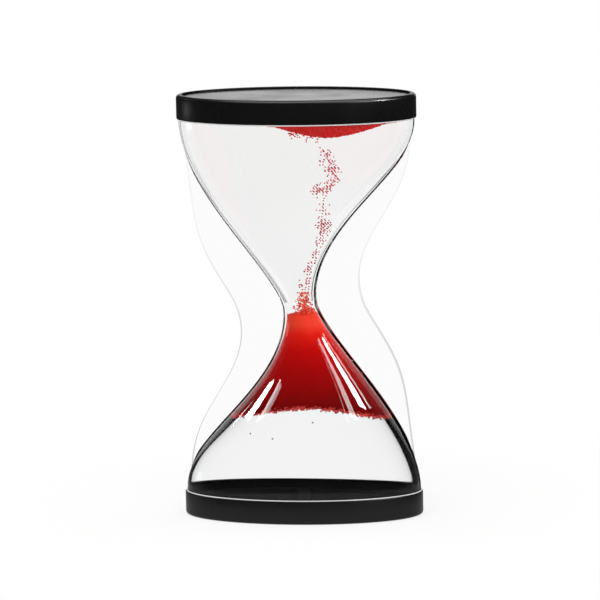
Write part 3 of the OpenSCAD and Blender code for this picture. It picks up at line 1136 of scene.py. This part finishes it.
@dataclass
class BeadMass:
    """Packed beads below the neck: a smooth body at the wall, loose below and at the neck.

    Sizes are in millimetres, with heights from the neck.
    """

    form: VesselForm
    gap: float = 0.1
    level: float = 34.1
    droop: float = 5.0
    hollow: float = 31.0
    hollow_share: float = 0.15
    crown_low: float = 3.2
    crown_h: float = 4.6
    crown_share: float = 0.45
    crown_thin: float = 1.7
    crown_lean: float = 0.45
    crown_right: float = 0.45
    crown_n: int = 270
    top_rise: float = 0.8
    edge_band: float = 1.3
    edge_fringe: float = 0.8
    edge_n: int = 760
    edge_inset: float = 0.5
    edge_radius: tuple[float, float] = (0.28, 0.42)
    edge_gap: float = 0.06
    pitch: float = 0.72
    radius: tuple[float, float] = (0.23, 0.34)
    bed_rise: tuple[float, float] = (-0.35, 0.15)
    bed_reach: float = 0.97
    grid_n: tuple[int, int] = (45, 30)
    wall_n: int = 60
    wall_bunch: float = 1.5
    bed_n: int = 16
    soft_angle: float = 40.0
    points: int = 128
    seed: int = 11

    def edge(self, angles: np.ndarray) -> np.ndarray:
        """Height of the free edge at the wall, by angle."""
        return -self.level - self.droop * np.cos(angles) ** 2

    def ring(self, heights: np.ndarray, angles: np.ndarray, gap: np.ndarray) -> np.ndarray:
        """Points near the wall, each with its own height, angle and gap."""
        spots = zip(heights, angles[:, None], gap)
        return np.concatenate([self.form.bore(*spot) for spot in spots])

    def wall_gap(self, above: np.ndarray) -> np.ndarray:
        """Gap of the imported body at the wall, wider close above its free edge."""
        near = np.clip(1 - above / self.edge_band, 0, 1)
        return self.gap + self.edge_inset * near * near * (3 - 2 * near)

    def bed_point(self, share: np.ndarray, angles: np.ndarray) -> np.ndarray:
        """Points of the free surface.

        Args:
            share: shares of the way from its hollow out to its edge at the wall.
            angles: an angle for each share.

        Returns:
            One point for each share.
        """
        inner = self.form.bore(-self.hollow, angles, self.gap, self.hollow_share)
        gap = self.wall_gap(np.zeros_like(angles))
        outer = self.ring(self.edge(angles), angles, gap)
        return inner + (outer - inner) * share[:, None]

    def build(self) -> Object:
        """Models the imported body, and beads on its free surface and at its edge.

        Returns:
            The body and the beads as one piece.
        """
        angles = Bench.angles(self.points)
        rings = [
            self.bed_point(np.full(self.points, i / self.bed_n), angles)
            for i in range(self.bed_n)
        ]
        edge = self.edge(angles)
        for i in range(self.wall_n + 1):
            above = (-self.crown_low - edge) * (i / self.wall_n) ** self.wall_bunch
            rings.append(self.ring(edge + above, angles, self.wall_gap(above)))
        top = self.top_rise - self.crown_low
        rings.append(self.form.bore(top, angles, self.gap, self.crown_share))
        obj = Bench.loft("packed_beads", self.form.place(np.stack(rings)))
        Bench.smooth(obj, self.soft_angle)
        dress(obj, PACKED_BEADS)
        loose = Bench.beads("loose_beads", *self.loose(), self.seed)
        dress(loose, EDGE_BEADS)
        Bench.join(obj, loose)
        return settle(obj, "red_beads", "lower_bead_mass")

    def loose(self) -> tuple[np.ndarray, np.ndarray]:
        """Scatters beads over the free surface and up the wall from its edge.

        Returns:
            Their centres and radii in metres.
        """
        draw = np.random.default_rng(self.seed)
        grid = Bench.scatter(draw, self.pitch, self.grid_n)
        mean_z = -self.level - self.droop / 2
        rim = self.form.bore(mean_z, np.array([0.0, math.pi / 2]), self.gap)
        half_w, half_d = rim[0, 0] - self.form.middle(mean_z), rim[1, 1]
        angles = np.arctan2(grid[:, 1] / half_d, grid[:, 0] / half_w)
        reach = np.hypot(grid[:, 0] / half_w, grid[:, 1] / half_d)
        inside = reach < self.bed_reach
        share = np.clip((reach[inside] - self.hollow_share) / (1 - self.hollow_share), 0, 1)
        bed = self.bed_point(share, angles[inside])
        bed[:, 2] += draw.uniform(*self.bed_rise, len(bed))
        turn = draw.uniform(0, 2 * math.pi, self.edge_n)
        above = draw.triangular(-self.edge_fringe, 0, self.edge_band, self.edge_n)
        wide = draw.uniform(*self.edge_radius, self.edge_n)
        wall = self.ring(self.edge(turn) + above, turn, wide + self.edge_gap)
        radii = np.concatenate([draw.uniform(*self.radius, len(bed)), wide])
        return self.form.place(np.concatenate([bed, wall])), radii * MM

    def crown(self) -> Object:
        """Models the beads that crowd in the neck and thin out above it.

        Returns:
            The beads as one piece. Above the neck they lean to the right, and fewer of
            them lie on the left.
        """
        draw = np.random.default_rng(self.seed + 1)
        places = np.empty((0, 3))
        reach = self.radius[1]
        span = self.crown_h + self.crown_low
        while len(places) < self.crown_n:
            z = -self.crown_low + span * draw.uniform() ** self.crown_thin
            share = 1 + (self.crown_share - 1) * max(z, 0) / self.crown_h
            turn = draw.uniform(0, 2 * math.pi, 1)
            spot = self.form.bore(z, turn, self.gap + reach / share, share)
            middle = np.array([[self.form.middle(z), 0, z]])
            spot = middle + (spot - middle) * math.sqrt(draw.uniform())
            spot[0, 0] += self.crown_lean * max(z, 0)
            if draw.uniform() > 1 - self.crown_right * (1 - math.cos(turn[0])):
                continue
            if len(places) and np.min(np.linalg.norm(places - spot, axis=1)) < reach:
                continue
            places = np.concatenate([places, spot])
        radii = draw.uniform(*self.radius, len(places)) * MM
        obj = Bench.beads("crown_beads", self.form.place(places), radii, self.seed + 1)
        dress(obj, CROWN_BEADS)
        return settle(obj, "red_beads")


@dataclass
class BeadLayer:
    """Beads that have gathered under the ceiling of the upper chamber.

    Sizes are in millimetres.
    """

    form: VesselForm
    half_w: float = 23.5
    half_d: float = 15.0
    height: float = 6.2
    middle_x: float = 10.5
    bluntness: float = 1.54
    hub_share: float = 0.02
    lid_share: float = 0.5
    least_depth: float = 0.02
    cover: float = 0.5
    pitch: float = 0.7
    radius: tuple[float, float] = (0.23, 0.34)
    bead_reach: float = 0.985
    grid_n: tuple[int, int] = (36, 26)
    adrift_n: int = 36
    adrift_x: tuple[float, float] = (-2.5, 8.0)
    adrift_y: float = 0.4
    adrift_z: float = 2.2
    soft_angle: float = 40.0
    points: int = 96
    rings_n: int = 24
    seed: int = 23

    def depth(self, reach: Numbers) -> Numbers:
        """Depth of the layer below the ceiling at a share of its radius."""
        return self.height * (1 - reach**self.bluntness)

    def spot(self, reach: Numbers, angles: np.ndarray, depth: Numbers) -> np.ndarray:
        """Points of the layer.

        Args:
            reach: shares of its radius, or one for all points.
            angles: an angle for each point.
            depth: depths below the ceiling, or one for all points.

        Returns:
            One point for each angle.
        """
        x = self.middle_x + self.half_w * reach * np.cos(angles)
        z = self.form.ceiling_z - depth + np.zeros_like(angles)
        return np.stack([x, self.half_d * reach * np.sin(angles), z], axis=1)

    def build(self) -> Object:
        """Models the gathered layer with the beads that hang from it.

        Returns:
            The layer and the beads as one piece.
        """
        angles = Bench.angles(self.points)
        rings = []
        for i in range(self.rings_n + 1):
            reach = self.hub_share + (1 - self.hub_share) * i / self.rings_n
            depth = max(self.depth(reach) - self.cover, self.least_depth)
            rings.append(self.spot(reach, angles, depth))
        rings += [self.spot(1, angles, 0), self.spot(self.lid_share, angles, 0)]
        obj = Bench.loft("gathered_beads", self.form.place(np.stack(rings)))
        Bench.smooth(obj, self.soft_angle)
        Bench.join(obj, Bench.beads("hanging_beads", *self.loose(), self.seed))
        dress(obj, GATHERED_BEADS)
        return settle(obj, "red_beads", "upper_bead_layer")

    def loose(self) -> tuple[np.ndarray, np.ndarray]:
        """Scatters beads over the layer's underside, and some adrift below it.

        Returns:
            Their centres and radii in metres.
        """
        draw = np.random.default_rng(self.seed)
        grid = Bench.scatter(draw, self.pitch, self.grid_n) / (self.half_w, self.half_d)
        reach = np.hypot(grid[:, 0], grid[:, 1])
        angles = np.arctan2(grid[:, 1], grid[:, 0])
        keep = reach < self.bead_reach
        radii = draw.uniform(*self.radius, int(keep.sum()) + self.adrift_n)
        held = radii[: -self.adrift_n]
        depth = self.depth(reach[keep]) - held - draw.uniform(0, self.cover, len(held))
        hanging = self.spot(reach[keep], angles[keep], np.maximum(depth, held))
        x = draw.uniform(*self.adrift_x, self.adrift_n)
        y = draw.uniform(-self.adrift_y, self.adrift_y, self.adrift_n) * self.half_d
        below = self.depth(np.hypot((x - self.middle_x) / self.half_w, y / self.half_d))
        below += self.radius[1] + self.adrift_z * draw.uniform(0, 1, self.adrift_n) ** 2
        adrift = np.stack([x, y, self.form.ceiling_z - below], axis=1)
        return self.form.place(np.concatenate([hanging, adrift])), radii * MM


# Studio


@dataclass(frozen=True)
class Lamp:
    """Rectangular lamp by its bearing in degrees, its distance and size in metres, and glow.

    The bearing is an azimuth and an elevation, as the camera's. A glow of 1 is white.
    """

    name: str
    bearing: tuple[float, float]
    reach: float
    size: tuple[float, float]
    glow: float


@dataclass(frozen=True)
class Strip:
    """Narrow lamp by the azimuths and elevations in degrees between which it is seen."""

    name: str
    left: float
    right: float
    low: float
    high: float
    glow: float

    def lamp(self, reach: float) -> Lamp:
        """Sizes the lamp.

        Args:
            reach: its distance from the timer in metres.

        Returns:
            The lamp.
        """
        lift = (self.low + self.high) / 2
        wide, tall = math.radians(self.right - self.left), math.radians(self.high - self.low)
        size = (reach * wide * math.cos(math.radians(lift)), reach * tall)
        return Lamp(self.name, ((self.left + self.right) / 2, lift), reach, size, self.glow)


@dataclass(frozen=True)
class LowLamp:
    """Lamp that lies close by and faces down, so that only the lower chamber shows it.

    It has azimuths in degrees, and distances in metres, between which it lies.
    """

    name: str
    left: float
    right: float
    near: float
    far: float
    glow: float

    def lamp(self) -> Lamp:
        """Sizes the lamp.

        Returns:
            The lamp, level with the timer's middle.
        """
        reach = (self.near + self.far) / 2
        size = (reach * math.radians(self.right - self.left), self.far - self.near)
        return Lamp(self.name, ((self.left + self.right) / 2, 0), reach, size, self.glow)


OVERHEAD = Lamp("overhead", (0, 80), 1.6, (1.6, 1.6), 2.2)
LEFT_PANEL = Lamp("left_panel", (-94, -1), 0.5, (0.12, 0.07), 1.2)
STRIPS = (
    Strip("right_key", 54, 66, 28.7, 42, 45.0),
    Strip("right_inner", 34, 42, 24.5, 40, 8.0),
    Strip("right_thin", 28.6, 30.2, 22.5, 40, 3.0),
    Strip("right_outer", 74, 80, 29, 42, 9.0),
    Strip("left_outer", -107, -102, 26.5, 31, 8.0),
)
LOW_LAMPS = (
    LowLamp("left_key", -86, -72.3, 0.128, 0.1385, 45.0),
    LowLamp("left_inner", -59.2, -54.6, 0.131, 0.142, 11.0),
    LowLamp("left_fade", -54.6, -49, 0.132, 0.1405, 5.0),
)


@dataclass
class Studio:
    """Floor, light and camera of the picture, in metres and degrees, the lens in millimetres."""

    centre_z: float = 0.0725
    distance: float = 1.743
    azimuth: float = 7.9
    elevation: float = 9.46
    roll: float = -1.23
    lens: float = 306.7
    sensor: float = 36.0
    clip: tuple[float, float] = (0.05, 50.0)
    aim_up: float = 0.00153
    fill: float = 0.5
    front_gloss: float = 0.03
    rear_span: tuple[float, float] = (0.9, 0.97)
    side_span: tuple[float, float] = (-0.2, 0.2)
    strip_reach: float = 0.9
    low_lamp_z: float = 0.1115
    floor_size: float = 16.0
    floor_near: tuple[float, float] = (0.07, 0.16)
    floor_gloss: tuple[float, float] = (0.4, 0.05)
    floor_white: tuple[float, float] = (0.75, 1.0)
    floor_span: tuple[float, float] = (-0.05, 0.0)

    @staticmethod
    def towards(azimuth: float, elevation: float) -> Vector:
        """Direction from the timer: the azimuth runs from the front to the right.

        Args:
            azimuth: angle round the timer in degrees.
            elevation: angle above the floor in degrees.

        Returns:
            A vector of length 1.
        """
        turn, lift = math.radians(azimuth), math.radians(elevation)
        flat = math.cos(lift)
        return Vector((math.sin(turn) * flat, -math.cos(turn) * flat, math.sin(lift)))

    def camera(self) -> None:
        """Sets the camera at the photograph's viewing angle."""
        back = self.towards(self.azimuth, self.elevation)
        centre = Vector((0, 0, self.centre_z))
        spot = centre + back * self.distance
        side = (-back).cross(Vector((0, 0, 1))).normalized()
        up = side.cross(-back)
        back = (spot - centre - up * self.aim_up).normalized()
        up = back.cross(side)
        lean = math.radians(self.roll)
        right = side * math.cos(lean) + up * math.sin(lean)
        up = up * math.cos(lean) - side * math.sin(lean)
        data = bpy.data.cameras.new("camera")
        data.sensor_width, data.lens = self.sensor, self.lens
        data.clip_start, data.clip_end = self.clip
        obj = bpy.data.objects.new("camera", data)
        axes = Matrix((right, up, back)).transposed().to_4x4()
        obj.matrix_world = Matrix.Translation(spot) @ axes
        bpy.context.scene.collection.objects.link(obj)
        bpy.context.scene.camera = obj

    def floor_material(self) -> Material:
        """Builds the floor's material: white paper that keeps a faint shadow near the timer.

        Returns:
            The finished material. Gloss shows it grey close by and dark further out, as a
            floor lit only where the timer stands.
        """
        material, tree = new_material("white_paper_floor")
        path = add_node(tree, "ShaderNodeLightPath")
        place = add_node(tree, "ShaderNodeTexCoord")
        axes = add_node(tree, "ShaderNodeSeparateXYZ", inputs={0: place.outputs["Object"]})
        away = add_node(tree, "ShaderNodeVectorMath", {"operation": "LENGTH"}, {
            0: place.outputs["Object"],
        })
        near, far = self.floor_near
        glow, whiteness = (
            add_node(tree, "ShaderNodeMapRange", SMOOTH_STEP, {
                "Value": away.outputs["Value"],
                "From Min": near,
                "From Max": far,
                "To Min": close_by,
                "To Max": further_out,
            })
            for close_by, further_out in (self.floor_gloss, self.floor_white)
        )
        paper = add_node(tree, "ShaderNodeBsdfDiffuse", inputs={"Color": linear("#F4F4F3")})
        white, mirrored = (
            add_node(tree, "ShaderNodeEmission", inputs={
                "Color": linear("#FFFFFF"), "Strength": strength,
            })
            for strength in (1.0, glow.outputs["Result"])
        )
        spread = room_share(tree, path, axes.outputs["Y"], self.floor_span, 0.0)
        straight, through = (
            add_node(tree, "ShaderNodeMath", {"operation": "MULTIPLY"}, {
                0: path.outputs[ray], 1: seen,
            }).outputs[0]
            for ray, seen in (
                ("Is Camera Ray", whiteness.outputs["Result"]),
                ("Is Transmission Ray", spread),
            )
        )
        share = add_node(tree, "ShaderNodeMath", {"operation": "MAXIMUM"}, {
            0: straight, 1: through,
        })
        surface = paper.outputs[0]
        for factor, shader in (
            (path.outputs["Is Glossy Ray"], mirrored),
            (share.outputs[0], white),
        ):
            surface = add_node(tree, "ShaderNodeMixShader", inputs={
                0: factor, 1: surface, 2: shader.outputs[0],
            }).outputs[0]
        add_node(tree, "ShaderNodeOutputMaterial", inputs={"Surface": surface})
        return material

    def floor(self) -> None:
        """Lays the floor."""
        Bench.clear_selection()
        bpy.ops.mesh.primitive_plane_add(size=self.floor_size, location=(0, 0, 0))
        obj = Bench.name(bpy.context.object, "floor")
        obj.data.materials.append(self.floor_material())

    def world(self) -> None:
        """Lights the room evenly: white to look at, dim in front where gloss would show it."""
        world = bpy.data.worlds.new("studio")
        bpy.context.scene.world = world
        world.use_nodes = True
        tree = world.node_tree
        tree.nodes.clear()
        path = add_node(tree, "ShaderNodeLightPath")
        place = add_node(tree, "ShaderNodeTexCoord")
        axes = add_node(tree, "ShaderNodeSeparateXYZ", inputs={0: place.outputs["Generated"]})
        rear = add_node(tree, "ShaderNodeMapRange", SMOOTH_STEP, {
            "Value": axes.outputs["Y"],
            "From Min": self.rear_span[0],
            "From Max": self.rear_span[1],
            "To Min": self.front_gloss,
        })
        spread = room_share(tree, path, axes.outputs["Y"], self.side_span, self.front_gloss)
        level: Any = self.fill
        for ray, seen in (
            ("Is Glossy Ray", rear.outputs["Result"]),
            ("Is Transmission Ray", spread),
            ("Is Camera Ray", 1.0),
        ):
            # A Mix node's inputs 2 and 3 and its output 0 are the ones for numbers
            level = add_node(tree, "ShaderNodeMix", inputs={
                0: path.outputs[ray], 2: level, 3: seen,
            }).outputs[0]
        background = add_node(tree, "ShaderNodeBackground", inputs={
            "Color": linear("#FFFFFF"), "Strength": level,
        })
        add_node(tree, "ShaderNodeOutputWorld", inputs={"Surface": background.outputs[0]})

    def hang(self, lamp: Lamp, gloss_only: bool = True) -> Object:
        """Hangs a lamp that faces the timer.

        Args:
            lamp: its place, size and glow.
            gloss_only: whether it shows in gloss alone.

        Returns:
            The lamp's object.
        """
        back = self.towards(*lamp.bearing)
        data = bpy.data.lights.new(lamp.name, "AREA")
        data.shape, data.size, data.size_y = "RECTANGLE", *lamp.size
        data.energy = lamp.glow * GLOW_WATTS * lamp.size[0] * lamp.size[1]
        obj = bpy.data.objects.new(lamp.name, data)
        obj.location = Vector((0, 0, self.centre_z)) + back * lamp.reach
        obj.rotation_euler = (-back).to_track_quat("-Z", "Y").to_euler()
        obj.visible_diffuse = obj.visible_transmission = not gloss_only
        bpy.context.scene.collection.objects.link(obj)
        return obj

    def lamps(self) -> None:
        """Hangs a broad lamp overhead, and strips and panels that only gloss shows."""
        self.hang(OVERHEAD, gloss_only=False)
        for strip in STRIPS:
            self.hang(strip.lamp(self.strip_reach))
        for low in LOW_LAMPS:
            lamp = low.lamp()
            obj = self.hang(lamp)
            obj.location.z = self.low_lamp_z
            obj.rotation_euler = (0, 0, math.radians(lamp.bearing[0]))
        self.hang(LEFT_PANEL)

    def build(self) -> None:
        """Sets up the floor, the light and the camera."""
        bpy.context.scene.view_settings.view_transform = "Standard"
        self.floor()
        self.world()
        self.lamps()
        self.camera()


def main() -> None:
    """Builds the timer's pieces in order."""
    logging.basicConfig(level=logging.INFO, format="%(name)s: %(message)s")
    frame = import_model()
    Studio().build()
    form = VesselForm()
    vessel = ClearVessel(form)
    made = [vessel.shell(), vessel.liquid()]
    for cap in (EndCap(End.UPPER, cement_h=0.4), EndCap(End.LOWER, cement_h=0.2)):
        made += [cap.cap(), cap.plate(), cap.cement_highlight_line(), *cap.closures(frame["nodes"])]
    mass = BeadMass(form)
    made += [mass.build(), mass.crown(), BeadLayer(form).build()]
    for name, finish in LOOSE_NODES.items():
        node = frame["nodes"][name]
        dress(node, finish)
        made.append(node)
    for piece in made:
        LOG.info("%s: %d faces", piece.name, len(piece.data.polygons))


if __name__ == "__main__":
    main()
